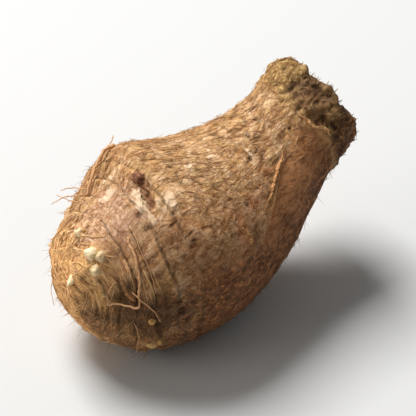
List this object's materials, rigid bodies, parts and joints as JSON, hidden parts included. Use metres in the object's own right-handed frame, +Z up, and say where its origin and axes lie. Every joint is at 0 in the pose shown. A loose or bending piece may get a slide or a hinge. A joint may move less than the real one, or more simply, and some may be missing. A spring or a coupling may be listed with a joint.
{
  "type": "taro root",
  "caption": "Small drumstick-shaped taro corm with a fibrous brown skin, lying on its belly with its neck and broken-off scar raised.",
  "frame": {"origin": "middle of the bounding box's underside, on the flat that the corm rests on", "axes": "+X along the corm towards its neck and scar, the longest side; +Z up; the blunt growing tip points towards -X"},
  "size_m": [0.0816, 0.0504, 0.0515],
  "materials": {
    "skin": "dull scurfy brown skin, ringed by leaf scars and matted with short fibres, with no gloss",
    "fibre": "dry straw-brown root hairs and torn papery leaf bases",
    "bud": "smooth waxy cream bud tips"
  },
  "bodies": {
    "root": {"corm": "skin"}
  },
  "joints": []
}
